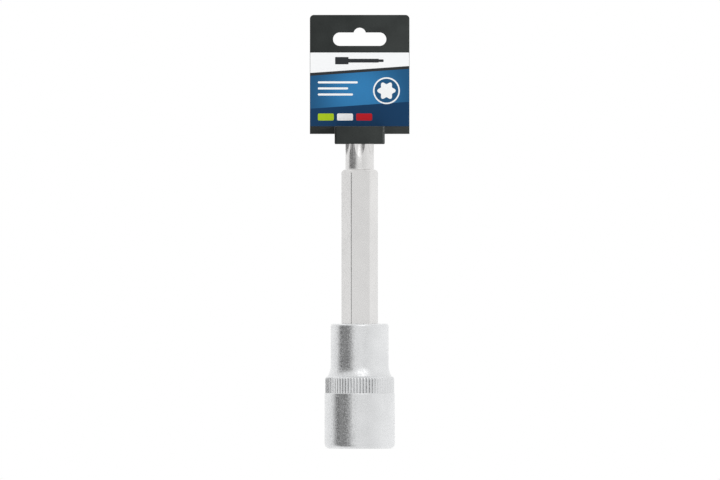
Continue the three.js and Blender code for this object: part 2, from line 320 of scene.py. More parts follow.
def makeGrainGroup():  # pits and peaks, as left by blasting a metal or by a spark-textured mould
    group, given, put = startGroup(
        "fineGrain",
        [("Point", "Vector", None), ("Size", "Float", 0.5 * mm), ("Sharpness", "Float", 0.5)],
        [("Height", "Float"), ("Speckle", "Float")],
    )
    scale = calc(group, "DIVIDE", 1.0, given["Size"])
    lumps = addNode(group, "ShaderNodeTexNoise", Vector=given["Point"], Scale=scale,
                    Detail=noise["grainDetail"], Roughness=given["Sharpness"]).outputs[0]
    setInput(group, put["Height"], lumps)
    setInput(group, put["Speckle"], fadeIn(group, lumps, *noise["grainSpread"]))
    return group


def makeMottleGroup():
    group, given, put = startGroup(
        "softMottle",
        [("Point", "Vector", None), ("Size", "Float", 8 * mm),
         ("Dark", "Color", None), ("Light", "Color", None)],
        [("Color", "Color")],
    )
    scale = calc(group, "DIVIDE", 1.0, given["Size"])
    clouds = addNode(group, "ShaderNodeTexNoise", Vector=given["Point"], Scale=scale,
                     Detail=noise["mottleDetail"]).outputs[0]
    level = fadeIn(group, clouds, *noise["mottleSpread"])
    setInput(group, put["Color"], mixColours(group, level, given["Dark"], given["Light"]))
    return group


grainGroup = makeGrainGroup()
mottleGroup = makeMottleGroup()


def addGrain(tree, shader, point, look):
    grain = placeGroup(tree, grainGroup, Point=point, Size=look["grainSize"], Sharpness=look["sharpness"])
    roughness = remap(tree, grain["Speckle"], 0.0, 1.0, look["smoothest"], look["roughest"])
    setInput(tree, shader["Roughness"], roughness)
    shader["Specular IOR Level"].default_value = look["gloss"]
    bump = addNode(tree, "ShaderNodeBump", Distance=look["grainDepth"], Height=grain["Height"])
    setInput(tree, shader["Normal"], bump.outputs[0])


def grainedFinish(name, look):
    material, tree, shader = newMaterial(name)
    point = objectPoint(tree)
    tone = placeGroup(tree, mottleGroup, Point=point, Size=look["mottleSize"], Dark=look["dark"],
                      Light=look["light"])
    setInput(tree, shader["Base Color"], tone["Color"])
    shader["Metallic"].default_value = look["metallic"]
    addGrain(tree, shader, point, look)
    return material


satinChrome = grainedFinish("satinChrome", {
    "metallic": 1,
    "dark": srgb(226, 227, 228),
    "light": srgb(232, 233, 234),
    "mottleSize": 6 * mm,
    "grainSize": 0.5 * mm,
    "grainDepth": 0.036 * mm,
    "sharpness": 0.5,
    "smoothest": 0.14,
    "roughest": 0.43,
    "gloss": 0.5,
})

satinSteel = grainedFinish("satinSteel", {
    "metallic": 1,
    "dark": srgb(223, 222, 221),
    "light": srgb(229, 228, 227),
    "mottleSize": 9 * mm,
    "grainSize": 0.5 * mm,
    "grainDepth": 0.026 * mm,
    "sharpness": 0.5,
    "smoothest": 0.15,
    "roughest": 0.36,
    "gloss": 0.5,
})

charcoalPlastic = grainedFinish("charcoalPlastic", {
    "metallic": 0,
    "dark": srgb(28, 31, 30),
    "light": srgb(35, 38, 37),
    "mottleSize": 7 * mm,
    "grainSize": 0.35 * mm,
    "grainDepth": 0.03 * mm,
    "sharpness": 0.55,
    "smoothest": 0.42,
    "roughest": 0.55,
    "gloss": 0.15,
})
print("metal and plastic finishes made")


# hexagon of the bar and of its seat: a flat to the front, then 3 degrees against the flutes
hexagon = {"sides": 6, "turn": math.pi / 6 + math.radians(3)}

# drive socket: turned outside first, then the recesses are cut out of it
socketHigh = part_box("drive_socket")[1]
socket = {
    "endRadius": socketHigh.x,
    "endChamfer": 0.85 * mm,
    "endEase": 0.6 * mm,
    "bodyTop": 17.3 * mm,
    "bodyEdge": 0.42 * mm,
    "bandStep": 0.2 * mm,
    "bandHeight": 5.2 * mm,
    "bandShoulder": 1 * mm,
    "bandDrop": 0.8 * mm,
    "shoulderRings": 8,
    "ridges": 68,
    "columnsPerRidge": 12,
    "grooveDepth": 0.3 * mm,
    "grooveHalfWidth": 0.35 * mm,
    "grooveLean": math.radians(3),  # over the shoulder
    "flareReach": 0.95 * mm,
    "flareHeight": 3.6 * mm,
    "flareRings": 12,
    "neckExtra": 0.2 * mm,          # longer than the solid's
    "rimReach": 1.65 * mm,
    "rimDrop": 0.15 * mm,
    "rimRound": 0.65 * mm,
    "rimRings": 8,
    "rimEase": 0.2 * mm,
    "square": 12.85 * mm,
    "squareCorner": 0.9 * mm,
    "squareCornerRings": 6,
    "squareDepth": 16.8 * mm,
    "squareLeadIn": 1.4 * mm,
    "detentHeight": 8 * mm,
    "detentDepth": 0.8 * mm,
    "detentWidth": 4 * mm,
    "webThickness": 4 * mm,
    "webHole": 3.25 * mm,
    "seatFlats": 10.16 * mm,
    "seatCorner": 0.25 * mm,
    "seatCornerRings": 4,
    "seatLeadIn": 0.4 * mm,
    "boreSides": 96,
    "overshoot": 1 * mm,
}
socket["length"] = socketHigh.z + socket["neckExtra"]
socket["bandRadius"] = socket["endRadius"] - socket["bandStep"]
socket["bandTop"] = socket["bodyTop"] + socket["bandHeight"]
socket["shoulderTurn"] = math.acos(1 - socket["bandDrop"] / socket["bandShoulder"])
socket["shoulderFoot"] = socket["bandTop"] - socket["bandShoulder"] * math.sin(socket["shoulderTurn"])


def socketProfile():
    bandRadius = socket["bandRadius"]
    neckRadius = bandRadius - socket["bandDrop"] - socket["flareReach"]
    neckFoot = socket["bandTop"] + socket["flareHeight"]
    endLow = (socket["endRadius"] - socket["endChamfer"], 0)
    endHigh = (socket["endRadius"], socket["endChamfer"])
    bodyCorner = (socket["endRadius"], socket["bodyTop"])
    bandFoot = (bandRadius, socket["bodyTop"])
    profile = easeCorner((0, 0), endLow, endHigh, socket["endEase"])
    profile += easeCorner(endLow, endHigh, bodyCorner, socket["endEase"])
    profile += easeCorner(endHigh, bodyCorner, bandFoot, socket["bodyEdge"])
    shoulderCentre = (bandRadius - socket["bandShoulder"], socket["shoulderFoot"])
    shoulderTurn = math.degrees(socket["shoulderTurn"])
    profile += arcSteps(shoulderCentre, socket["bandShoulder"], 0, shoulderTurn, socket["shoulderRings"])
    flareRadius = (socket["flareReach"] ** 2 + socket["flareHeight"] ** 2) / (2 * socket["flareReach"])
    flareTurn = math.degrees(math.asin(socket["flareHeight"] / flareRadius))
    flareCentre = (neckRadius + flareRadius, neckFoot)
    profile += arcSteps(flareCentre, flareRadius, 180 + flareTurn, 180, socket["flareRings"])[1:]
    rimLow = (neckRadius, socket["length"] - socket["rimDrop"])
    rimHigh = (neckRadius - socket["rimReach"], socket["length"])
    profile += easeCorner((neckRadius, neckFoot), rimLow, rimHigh, socket["rimRound"], socket["rimRings"])
    profile += easeCorner(rimLow, rimHigh, (0, socket["length"]), socket["rimEase"])
    return profile


def pressKnurl(piece, profile):  # upright grooves that lean in over the shoulder and run out near its top
    bandRadius = socket["bandRadius"]
    perRidge = socket["columnsPerRidge"]
    column = 2 * math.pi / (socket["ridges"] * perRidge)
    grooveFoot = socket["bodyTop"] - touch
    grooveEnd = socket["bandTop"] - touch
    rings = [(radius, height) for radius, height in profile
             if radius < bandRadius + touch and grooveFoot < height < grooveEnd]
    startEdit(piece)
    for offset in range(perRidge // 2 + 1):
        aside = offset * column * bandRadius
        depth = socket["grooveDepth"] * (1 - aside / socket["grooveHalfWidth"])
        for ringRadius, ringHeight in rings:
            lean = max(0, ringHeight - socket["shoulderFoot"]) * math.tan(socket["grooveLean"])
            floorRadius = bandRadius - depth - lean
            if floorRadius >= ringRadius:
                continue

            def inGroove(vert):
                if abs(vert.co.z - ringHeight) > touch or vert.co.xy.length > bandRadius + touch:
                    return False
                place = round(math.atan2(vert.co.y, vert.co.x) / column) % perRidge
                return place == offset or place == perRidge - offset

            pick(piece, "VERT", inGroove)
            press = floorRadius / ringRadius
            bpy.ops.transform.resize(value=(press, press, 1), center_override=(0, 0, ringHeight))
    clearSelection()


def makeSocketCutter():
    half = socket["square"] / 2
    over = socket["overshoot"]
    sides = socket["boreSides"]
    top = socket["length"]
    cutter = addBlock("squareCutter", (-half, -half, -over), (half, half, socket["squareDepth"]))
    roundUprights(cutter, socket["squareCorner"], 4, socket["squareCornerRings"])
    mouth = half + socket["squareLeadIn"]
    combine(cutter, addCone("mouthCutter", mouth + over, -over, 0, mouth, sides), "UNION")
    low = socket["detentHeight"] - socket["detentWidth"] / 2
    high = socket["detentHeight"] + socket["detentWidth"] / 2
    depth = socket["detentDepth"]
    groove = [(half - depth, low - depth), (half + depth, low + depth), (half + depth, high - depth),
              (half - depth, high + depth)]
    combine(cutter, turnForm("detentCutter", groove, sides), "UNION")
    seatFloor = socket["squareDepth"] + socket["webThickness"]
    hole = addBar("webCutter", socket["webHole"], socket["squareDepth"] - over, seatFloor + over, sides)
    combine(cutter, hole, "UNION")
    seatRadius = socket["seatFlats"] / math.sqrt(3)
    seat = addBar("seatCutter", seatRadius, seatFloor, top + over, hexagon["sides"], hexagon["turn"])
    roundUprights(seat, socket["seatCorner"], hexagon["sides"], socket["seatCornerRings"])
    combine(cutter, seat, "UNION")
    seatMouth = socket["seatFlats"] / 2 + socket["seatLeadIn"]
    lead = addCone("leadCutter", 0, top - seatMouth, seatMouth + over, top + over, sides)
    combine(cutter, lead, "UNION")
    return cutter


def makeSocket():
    profile = socketProfile()
    sleeve = turnForm("drive_socket_piece", profile, socket["ridges"] * socket["columnsPerRidge"])
    pressKnurl(sleeve, profile)
    combine(sleeve, makeSocketCutter(), "DIFFERENCE")
    return sleeve


driveSocket = makeSocket()
finishPiece(driveSocket, "tool", "drive_socket", satinChrome)


# bit: hexagon bar with a rounded shoulder, and a six-lobe tip fluted by a round cutter
bitLow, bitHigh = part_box("torx_bit")
bit = {
    "foot": bitLow.z,
    "end": bitHigh.z,
    "flats": 10 * mm,
    "hexCorner": 0.36 * mm,
    "hexCornerRings": 6,
    "footChamfer": 0.6 * mm,
    "shoulderRound": 1.6 * mm,
    "shoulderStep": 0.08 * mm,      # left outside the tip at the shoulder's height
    "shoulderRings": 14,
    "neckLength": 4 * mm,
    "neckFillet": 0.3 * mm,
    "filletTurn": 60,               # degrees, from the shoulder's round to the rod
    "filletRings": 6,
    "lobes": 6,
    "stepsPerLobe": 40,
    "pointRadius": 4.475 * mm,
    "fluteDepth": 1.25 * mm,
    "lobeRound": 0.74 * mm,
    "lobeLand": 0.01 * mm,          # taken off the lobe tops by the turned rod
    "fluteLength": 2.4 * mm,
    "runOut": 6.3 * mm,
    "runOutPast": 0.45 * mm,        # carried on, clear of the rod
    "runOutRings": 14,
    "endChamfer": 0.45 * mm,
    "turnedSides": 192,
    "overshoot": 1 * mm,
}
bit["fluteStart"] = bit["end"] - bit["fluteLength"]
bit["shoulder"] = bit["fluteStart"] - bit["runOut"] - bit["neckLength"]
bit["corner"] = bit["flats"] / math.sqrt(3)
bit["root"] = bit["pointRadius"] - bit["fluteDepth"]


def shoulderArc(topRadius):  # shoulder round from the bar's corners in to a radius
    shoulderRound = bit["shoulderRound"]
    fullDrop = bit["corner"] - bit["pointRadius"] - bit["shoulderStep"]
    foot = bit["shoulder"] - shoulderRound * math.sin(math.acos(1 - fullDrop / shoulderRound))
    turn = math.acos(1 - (bit["corner"] - topRadius) / shoulderRound)
    centre = (bit["corner"] - shoulderRound, foot)
    return arcSteps(centre, shoulderRound, 0, math.degrees(turn), bit["shoulderRings"])


def lobedRadius(fromLobe):  # six-lobe outline: round lobes and round flutes that meet tangentially
    root = bit["root"]
    lobeRound = bit["lobeRound"]
    halfSector = math.pi / bit["lobes"]
    lobeReach = bit["pointRadius"] - lobeRound
    across = lobeReach * math.cos(halfSector)
    fluteRound = lobeRound ** 2 - lobeReach ** 2 - root ** 2 + 2 * across * root
    fluteRound /= 2 * (root - across - lobeRound)
    fluteReach = root + fluteRound
    lobeCentre = Vector((lobeReach, 0))
    fluteCentre = Vector((fluteReach * math.cos(halfSector), fluteReach * math.sin(halfSector)))
    meeting = lobeCentre.lerp(fluteCentre, lobeRound / (lobeRound + fluteRound))
    if fromLobe <= math.atan2(meeting.y, meeting.x):
        side = lobeReach * math.sin(fromLobe)
        return lobeReach * math.cos(fromLobe) + math.sqrt(lobeRound ** 2 - side ** 2)
    side = fluteReach * math.sin(halfSector - fromLobe)
    return fluteReach * math.cos(halfSector - fromLobe) - math.sqrt(fluteRound ** 2 - side ** 2)


def makeFluteForm():
    root = bit["root"]
    start = bit["fluteStart"]
    perLobe = bit["stepsPerLobe"]
    columns = bit["lobes"] * perLobe
    column = 2 * math.pi / columns
    clearSelection()
    bpy.ops.mesh.primitive_circle_add(vertices=columns, radius=bit["pointRadius"], fill_type="NGON",
                                      location=(0, 0, start))
    form = takeName("fluteForm")
    startEdit(form)
    for offset in range(1, perLobe // 2 + 1):
        def onColumn(vert):
            place = round(math.atan2(vert.co.y, vert.co.x) / column) % perLobe
            return place == offset or place == perLobe - offset

        pick(form, "VERT", onColumn)
        inwards = lobedRadius(offset * column) / bit["pointRadius"]
        bpy.ops.transform.resize(value=(inwards, inwards, 1), center_override=(0, 0, start))
    bpy.ops.mesh.select_mode(type="FACE")
    bpy.ops.mesh.select_all(action="SELECT")
    growRings([(root, start), (root, bit["end"] + 2 * bit["overshoot"])])
    # below, the flutes run out on the arc of the cutter, and the form then opens out round the bar
    wheel = (bit["runOut"] ** 2 + bit["fluteDepth"] ** 2) / (2 * bit["fluteDepth"])
    runOut = []
    for ring in range(bit["runOutRings"] + 1):
        below = (bit["runOut"] + bit["runOutPast"]) * ring / bit["runOutRings"]
        runOut.append((root + wheel - math.sqrt(wheel ** 2 - below ** 2), start - below))
    runOut.append((2 * bit["corner"], runOut[-1][1] - bit["overshoot"]))
    runOut.append((2 * bit["corner"], bit["foot"] - 2 * bit["overshoot"]))
    pick(form, "FACE", lambda face: abs(face.calc_center_median().z - start) < touch)
    growRings(runOut)
    bpy.ops.mesh.select_all(action="SELECT")
    bpy.ops.mesh.normals_make_consistent(inside=False)
    clearSelection()
    return form


def bitProfile():  # turned outline: foot, shoulder round, fillet, neck and chamfered end
    rod = bit["pointRadius"] - bit["lobeLand"]
    fillet = bit["neckFillet"]
    filletTurn = math.radians(bit["filletTurn"])
    footChamfer = bit["footChamfer"]
    endChamfer = bit["endChamfer"]
    profile = [(bit["corner"] - footChamfer, bit["foot"]), (bit["corner"], bit["foot"] + footChamfer)]
    profile += shoulderArc(rod + fillet * (1 - math.cos(filletTurn)))
    filletCentre = (rod + fillet, profile[-1][1] + fillet * math.sin(filletTurn))
    profile += arcSteps(filletCentre, fillet, 180 + bit["filletTurn"], 180, bit["filletRings"])[1:]
    profile += [(rod, bit["end"] - endChamfer), (rod - endChamfer, bit["end"])]
    return profile


def makeBit():
    low = bit["foot"] - bit["overshoot"]
    high = bit["end"] + bit["overshoot"]
    bar = addBar("torx_bit_piece", bit["corner"], low, high, hexagon["sides"], hexagon["turn"])
    roundUprights(bar, bit["hexCorner"], hexagon["sides"], bit["hexCornerRings"])
    combine(bar, turnForm("bitOutline", bitProfile(), bit["turnedSides"]), "INTERSECT")
    combine(bar, makeFluteForm(), "INTERSECT")
    return bar


lobedBit = makeBit()
finishPiece(lobedBit, "tool", "torx_bit", satinSteel)


# hanger plate: moulded sheet with a tongue behind the holder and a slot for a shop hook
plateLow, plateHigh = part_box("hanger_plate")
holderLow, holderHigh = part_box("tip_holder")
plate = {
    "footDrop": 2.3 * mm,           # from the holder's top to the plate's foot
    "topCorner": 1.25 * mm,
    "topCornerRings": 10,
    "tongueHalfWidth": 6.5 * mm,
    "slotHalfWidth": 8.35 * mm,
    "slotHeight": 4.2 * mm,
    "slotFromTop": 5.5 * mm,
    "slotRings": 16,
    "notchRadius": 1.95 * mm,
    "notchRise": 1.5 * mm,
    "notchSides": 64,
    "pegReach": 4.2 * mm,
    "pegHeight": (holderLow.z + holderHigh.z) / 2,
    "pegHole": 1.02 * mm,
    "pegHoleSides": 32,
    "edge": 0.28 * mm,
    "edgeRings": 3,
    "overshoot": 1 * mm,
}


def addPlateBar(name, radius, x, z, low, high, sides):  # a round bar through the plate, along Y
    clearSelection()
    bpy.ops.mesh.primitive_cylinder_add(vertices=sides, radius=radius, depth=high - low,
                                        location=(x, (low + high) / 2, z), rotation=(math.pi / 2, 0, 0))
    return takeName(name)


def makePlate():
    foot = holderHigh.z - plate["footDrop"]
    halfTongue = plate["tongueHalfWidth"]

    def upperCorner(edge):
        return runsAlongY(edge) and middleOf(edge).z > foot + plate["topCorner"]

    def tongueRoot(face):
        facesDown = face.normal.z < -0.9
        return facesDown and abs(face.calc_center_median().x) < halfTongue

    body = addBlock("hanger_plate_piece", (plateLow.x, plateLow.y, foot), plateHigh)
    roundPicked(body, upperCorner, plate["topCorner"], plate["topCornerRings"])
    startEdit(body)
    for side in (-1, 1):
        bpy.ops.mesh.select_all(action="SELECT")
        bpy.ops.mesh.bisect(plane_co=(side * halfTongue, 0, 0), plane_no=(1, 0, 0))
    pick(body, "FACE", tongueRoot)
    bpy.ops.mesh.extrude_region_move(TRANSFORM_OT_translate={"value": (0, 0, plateLow.z - foot)})
    clearSelection()
    low = plateLow.y - plate["overshoot"]
    high = plateHigh.y + plate["overshoot"]
    slotTop = plateHigh.z - plate["slotFromTop"]
    cutter = addBlock("slotCutter", (-plate["slotHalfWidth"], low, slotTop - plate["slotHeight"]),
                      (plate["slotHalfWidth"], high, slotTop))
    roundPicked(cutter, runsAlongY, plate["slotHeight"] / 2 - sliver, plate["slotRings"])
    notchHeight = slotTop + plate["notchRise"] - plate["notchRadius"]
    notch = addPlateBar("notchCutter", plate["notchRadius"], 0, notchHeight, low, high, plate["notchSides"])
    combine(cutter, notch, "UNION")
    combine(body, cutter, "DIFFERENCE")
    for side in (-1, 1):
        hole = addPlateBar("pegHoleCutter", plate["pegHole"], side * plate["pegReach"], plate["pegHeight"],
                           low, high, plate["pegHoleSides"])
        combine(body, hole, "DIFFERENCE")
    roundEdges(body, plate["edge"], plate["edgeRings"])
    return body


hangerPlate = makePlate()
finishPiece(hangerPlate, "hanger", "hanger_plate", charcoalPlastic)


# tip holder: block with a stepped bore, three grip ribs and two pegs through the plate
holder = {
    "plateGap": 0.05 * mm,
    "frontCorner": 0.8 * mm,
    "frontCornerRings": 8,
    "edge": 0.3 * mm,
    "edgeRings": 3,
    "bore": 4.725 * mm,
    "boreSides": 96,
    "tipGap": 0.1 * mm,             # from the tip's end to the stop lip
    "lipHole": 3.625 * mm,
    "mouthChamfer": 0.5 * mm,
    "ribs": 3,
    "firstRib": 30,                 # degrees, in a flute
    "ribHalfWidth": 0.6 * mm,
    "ribNose": 3.525 * mm,
    "ribRings": 8,
    "pegRadius": 0.9 * mm,
    "pegRoot": 1 * mm,
    "pegHead": 1.5 * mm,
    "pegHeadGap": 0.05 * mm,
    "pegHeadRound": 0.3 * mm,
    "pegHeadRings": 4,
    "pegSides": 48,
    "overshoot": 1 * mm,
}
holder["rear"] = plateLow.y - holder["plateGap"]
holder["boreTop"] = bitHigh.z + holder["tipGap"]


def addRib(angle):
    half = holder["ribHalfWidth"]
    nose = holder["ribNose"]
    low = holderLow.z + holder["mouthChamfer"]

    def noseEdge(edge):
        return runsAlongZ(edge) and middleOf(edge).x < nose + half

    rib = addBlock("gripRib", (nose, -half, low), (holder["bore"] + half, half, holderHigh.z))
    roundPicked(rib, noseEdge, half - sliver, holder["ribRings"])
    startEdit(rib)
    bpy.ops.mesh.select_all(action="SELECT")
    bpy.ops.transform.rotate(value=-angle, orient_axis="Z", center_override=(0, 0, 0))
    clearSelection()
    return rib


def addPeg(side):
    x = side * plate["pegReach"]
    z = plate["pegHeight"]
    end = holderHigh.y
    root = holder["rear"] - holder["pegRoot"]
    headFoot = plateHigh.y + holder["pegHeadGap"]

    def headRim(edge):
        return abs(middleOf(edge).y - end) < touch

    peg = addPlateBar("peg", holder["pegRadius"], x, z, root, end, holder["pegSides"])
    head = addPlateBar("pegHead", holder["pegHead"], x, z, headFoot, end, holder["pegSides"])
    roundPicked(head, headRim, holder["pegHeadRound"], holder["pegHeadRings"])
    combine(peg, head, "UNION")
    return peg


def makeHolder():
    over = holder["overshoot"]
    sides = holder["boreSides"]
    foot = holderLow.z

    def frontUpright(edge):
        return runsAlongZ(edge) and middleOf(edge).y < 0

    block = addBlock("tip_holder_piece", holderLow, (holderHigh.x, holder["rear"], holderHigh.z))
    roundPicked(block, frontUpright, holder["frontCorner"], holder["frontCornerRings"])
    roundEdges(block, holder["edge"], holder["edgeRings"])
    bore = addBar("boreCutter", holder["bore"], foot - over, holder["boreTop"], sides)
    combine(bore, addBar("lipCutter", holder["lipHole"], foot, holderHigh.z + over, sides), "UNION")
    mouth = holder["bore"] + holder["mouthChamfer"]
    combine(bore, addCone("mouthCutter", mouth + over, foot - over, 0, foot + mouth, sides), "UNION")
    combine(block, bore, "DIFFERENCE")
    for i in range(holder["ribs"]):
        angle = math.radians(holder["firstRib"] + 360 * i / holder["ribs"])
        combine(block, addRib(angle), "UNION")
    for side in (-1, 1):
        combine(block, addPeg(side), "UNION")
    return block


tipHolder = makeHolder()
finishPiece(tipHolder, "hanger", "tip_holder", charcoalPlastic)


# printed card: die-cut board glued to the plate, with flat shapes printed on its face, X across and Z up
cardLow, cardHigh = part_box("printed_card")
card = {
    "corner": 0.2 * mm,
    "cornerRings": 5,
    "edge": 0.06 * mm,
    "edgeRings": 2,
    "blue": srgb(47, 124, 179),
    "edgeBlue": srgb(26, 83, 125),
    "navy": srgb(9, 56, 94),
    "white": srgb(244, 245, 246),
    "ink": srgb(44, 47, 50),
    "lime": srgb(168, 198, 24),
    "red": srgb(192, 20, 34),
    "glowDrop": 2 * mm,             # lightest blue, below the card's middle
    "glowCore": 2 * mm,
    "glowRim": 17 * mm,
    "footDepth": 6.6 * mm,          # navy foot, at its middle
    "footSlope": 0.07,
    "chipTones": ("lime", "white", "red"),
    "chipFirst": -10.6 * mm,
    "chipStep": 6 * mm,
    "chipRise": 2.9 * mm,
    "chipHalfWidth": 2.5 * mm,
    "chipHalfHeight": 1.1 * mm,
    "chipCorner": 0.4 * mm,
    "barLengths": (12.5 * mm, 9.5 * mm, 11 * mm),
    "barLeft": -13.1 * mm,
    "barRise": 2.2 * mm,            # first bar, above the card's middle
    "barStep": 1.9 * mm,
    "barHalfHeight": 0.32 * mm,
    "barCorner": 0.3 * mm,
    "signAside": 8.4 * mm,
    "signDrop": 0.4 * mm,
    "signRings": ((4.2 * mm, "white"), (3.75 * mm, "edgeBlue")),
    "signLobes": 2.45 * mm,         # mean radius
    "signWave": 0.42 * mm,
    "headDepth": 5.3 * mm,          # white head, at its middle
    "headSlope": 0.07,
    "headLine": 0.9 * mm,
    "bitLift": 0.1 * mm,
    "bitCorner": 0.2 * mm,
    # drive end, bar and tip of the bit in the head: place, half width, half height
    "bitParts": ((-5.6 * mm, 2.1 * mm, 1.15 * mm), (1 * mm, 5 * mm, 0.6 * mm),
                 (6.6 * mm, 0.9 * mm, 0.42 * mm)),
    "grainSize": 0.25 * mm,
    "grainDepth": 0.002 * mm,
    "sharpness": 0.5,
    "smoothest": 0.32,
    "roughest": 0.42,
    "gloss": 0.15,
}


def makePatchGroup():
    group, given, put = startGroup(
        "roundedPatch",
        [("Point", "Vector", None), ("Centre X", "Float", 0.0), ("Centre Z", "Float", 0.0),
         ("Half Width", "Float", 1 * mm), ("Half Height", "Float", 1 * mm), ("Corner", "Float", 0.0)],
        [("Mask", "Float")],
    )
    place = addNode(group, "ShaderNodeSeparateXYZ", Vector=given["Point"]).outputs
    reach = []
    for along, centre, half in (("X", "Centre X", "Half Width"), ("Z", "Centre Z", "Half Height")):
        offset = calc(group, "ABSOLUTE", calc(group, "SUBTRACT", place[along], given[centre]))
        flat = calc(group, "SUBTRACT", given[half], given["Corner"])
        reach.append(calc(group, "MAXIMUM", calc(group, "SUBTRACT", offset, flat), 0.0))
    corner = addNode(group, "ShaderNodeCombineXYZ", X=reach[0], Y=reach[1]).outputs[0]
    fromFlat = measure(group, "LENGTH", corner)
    setInput(group, put["Mask"], calc(group, "LESS_THAN", fromFlat, given["Corner"]))
    return group


def makeLobeGroup():
    group, given, put = startGroup(
        "sixLobePatch",
        [("Point", "Vector", None), ("Centre X", "Float", 0.0), ("Centre Z", "Float", 0.0),
         ("Mean Radius", "Float", 1 * mm), ("Wave", "Float", 0.1 * mm), ("Lobes", "Float", 6.0)],
        [("Mask", "Float")],
    )
    place = addNode(group, "ShaderNodeSeparateXYZ", Vector=given["Point"]).outputs
    across = calc(group, "SUBTRACT", place["X"], given["Centre X"])
    upwards = calc(group, "SUBTRACT", place["Z"], given["Centre Z"])
    squares = [calc(group, "MULTIPLY", side, side) for side in (across, upwards)]
    fromCentre = calc(group, "SQRT", calc(group, "ADD", *squares))
    turns = calc(group, "MULTIPLY", calc(group, "ARCTAN2", upwards, across), given["Lobes"])
    swing = calc(group, "COSINE", turns)
    outline = calc(group, "MULTIPLY_ADD", swing, given["Wave"], given["Mean Radius"])
    setInput(group, put["Mask"], calc(group, "LESS_THAN", fromCentre, outline))
    return group


def makePrint():
    material, tree, shader = newMaterial("printedCard")
    patchGroup = makePatchGroup()
    lobeGroup = makeLobeGroup()
    point = objectPoint(tree)
    place = addNode(tree, "ShaderNodeSeparateXYZ", Vector=point).outputs
    middle = (cardLow.z + cardHigh.z) / 2

    def patch(x, z, halfWidth, halfHeight, corner):
        return placeGroup(tree, patchGroup, Point=point, Centre_X=x, Centre_Z=z, Half_Width=halfWidth,
                          Half_Height=halfHeight, Corner=corner)["Mask"]

    def lobes(x, z, radius, wave):
        return placeGroup(tree, lobeGroup, Point=point, Centre_X=x, Centre_Z=z, Mean_Radius=radius,
                          Wave=wave)["Mask"]

    def above(height, slope):
        line = calc(tree, "MULTIPLY_ADD", place["X"], slope, height)
        return calc(tree, "GREATER_THAN", place["Z"], line)

    # blue field, lightest a little below its middle
    fromGlow = measure(tree, "DISTANCE", point, (0, cardLow.y, middle - card["glowDrop"]))
    fade = fadeIn(tree, fromGlow, card["glowCore"], card["glowRim"])
    colour = mixColours(tree, fade, card["blue"], card["edgeBlue"])

    # navy foot, then the row of colour chips on it
    foot = calc(tree, "SUBTRACT", 1.0, above(cardLow.z + card["footDepth"], card["footSlope"]))
    colour = mixColours(tree, foot, colour, card["navy"])
    for i, tone in enumerate(card["chipTones"]):
        mask = patch(card["chipFirst"] + i * card["chipStep"], cardLow.z + card["chipRise"],
                     card["chipHalfWidth"], card["chipHalfHeight"], card["chipCorner"])
        colour = mixColours(tree, mask, colour, card[tone])

    # bars of unequal length at the left
    for i, length in enumerate(card["barLengths"]):
        mask = patch(card["barLeft"] + length / 2, middle + card["barRise"] - i * card["barStep"],
                     length / 2, card["barHalfHeight"], card["barCorner"])
        colour = mixColours(tree, mask, colour, card["white"])

    # drive sign at the right: a ring round a six-lobe shape
    signHeight = middle - card["signDrop"]
    for radius, tone in card["signRings"]:
        mask = patch(card["signAside"], signHeight, radius, radius, radius)
        colour = mixColours(tree, mask, colour, card[tone])
    mask = lobes(card["signAside"], signHeight, card["signLobes"], card["signWave"])
    colour = mixColours(tree, mask, colour, card["white"])

    # white head with a slanting foot line
    headFoot = cardHigh.z - card["headDepth"]
    for height, tone in ((headFoot - card["headLine"], "ink"), (headFoot, "white")):
        colour = mixColours(tree, above(height, card["headSlope"]), colour, card[tone])

    # side view of a bit in the head
    headMiddle = headFoot + card["headDepth"] / 2 + card["bitLift"]
    for x, halfWidth, halfHeight in card["bitParts"]:
        mask = patch(x, headMiddle, halfWidth, halfHeight, card["bitCorner"])
        colour = mixColours(tree, mask, colour, card["ink"])

    setInput(tree, shader["Base Color"], colour)
    addGrain(tree, shader, point, card)
    return material


def makeCard():
    board = addBlock("printed_card_piece", cardLow, cardHigh)
    roundPicked(board, runsAlongY, card["corner"], card["cornerRings"])
    roundEdges(board, card["edge"], card["edgeRings"])
    return board


printedCard = makeCard()
finishPiece(printedCard, "hanger", "printed_card", makePrint())

for piece in (hangerPlate, tipHolder, printedCard):
    evenShading(piece)
    piece.visible_glossy = False  # the metal below shows the studio alone


# studio: pale floor, white surround with one dark side for the metal to show, two soft lamps
studio = {
    "floorRadius": 0.7,
    "floorSides": 96,
    "floorDrop": 0.05 * mm,
    "floorPale": 0.99,
    "shadowReach": 6 * mm,
    "shadowEnd": 12.5 * mm,
    "fill": 1.0,
    "upperTone": 0.88,
    "upperFade": (0.32, 0.62),      # sines of the rise over which it comes in
    "floorTone": 0.9,
    "floorFade": (-0.72, -0.96),
    # what the metal shows at each turn from the front, left is minus
    "turns": [(-180, 1), (-128, 0.96), (-101, 0.9), (-80, 0.14), (-64, 0.28), (-49, 0.2), (-36, 0.35),
              (-22, 0.9), (-12, 0.87), (0, 0.885), (24, 0.815), (55, 0.92), (80, 0.97), (130, 1), (180, 1)],
    # round patches above: white paper behind, a soft lamp in front
    "patches": [
        {"turn": 180, "rise": 54, "core": 8, "rim": 32, "tone": 1.4},
        {"turn": 11, "rise": 38, "core": 12, "rim": 26, "tone": 1.42},
    ],
    "upperLamp": {"place": (35 * mm, -330 * mm, 400 * mm), "aim": (0, 0, 25 * mm), "size": 220 * mm,
                  "power": 0.1},
    "plateLamp": {"place": (60 * mm, -50 * mm, 112 * mm), "aim": (0, 6 * mm, 112 * mm), "size": 30 * mm,
                  "power": 0.08},
}
white = grey(1)


